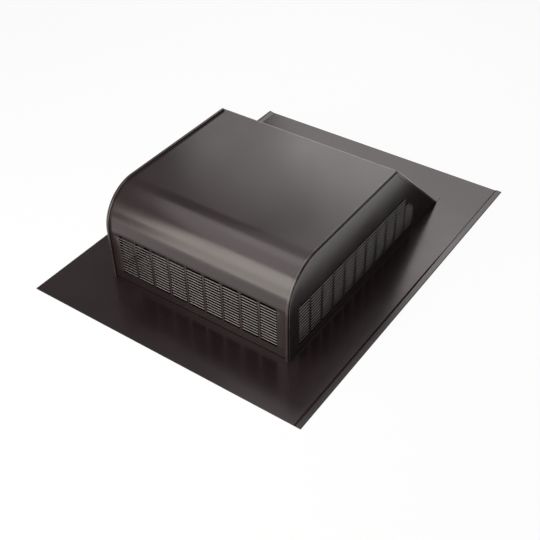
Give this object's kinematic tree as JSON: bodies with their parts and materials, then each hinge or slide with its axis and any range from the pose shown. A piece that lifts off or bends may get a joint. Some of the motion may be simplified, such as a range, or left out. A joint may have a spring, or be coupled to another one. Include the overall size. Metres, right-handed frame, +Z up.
{
  "type": "static roof louver",
  "caption": "Slant-back static roof vent: folded sheet-metal hood with louvered front and sides on a flat flashing with a round throat.",
  "frame": {"origin": "middle of the flashing's underside", "axes": "+Z up out of the roof, +Y up the roof towards the slanted back, louvered front towards -Y"},
  "size_m": [0.4064, 0.5206, 0.131],
  "materials": {
    "painted_sheet": "satin"
  },
  "bodies": {
    "root": {"base_flashing": "painted_sheet", "throat_collar": "painted_sheet", "hood": "painted_sheet", "left_side_panel": "painted_sheet", "right_side_panel": "painted_sheet"}
  },
  "joints": []
}
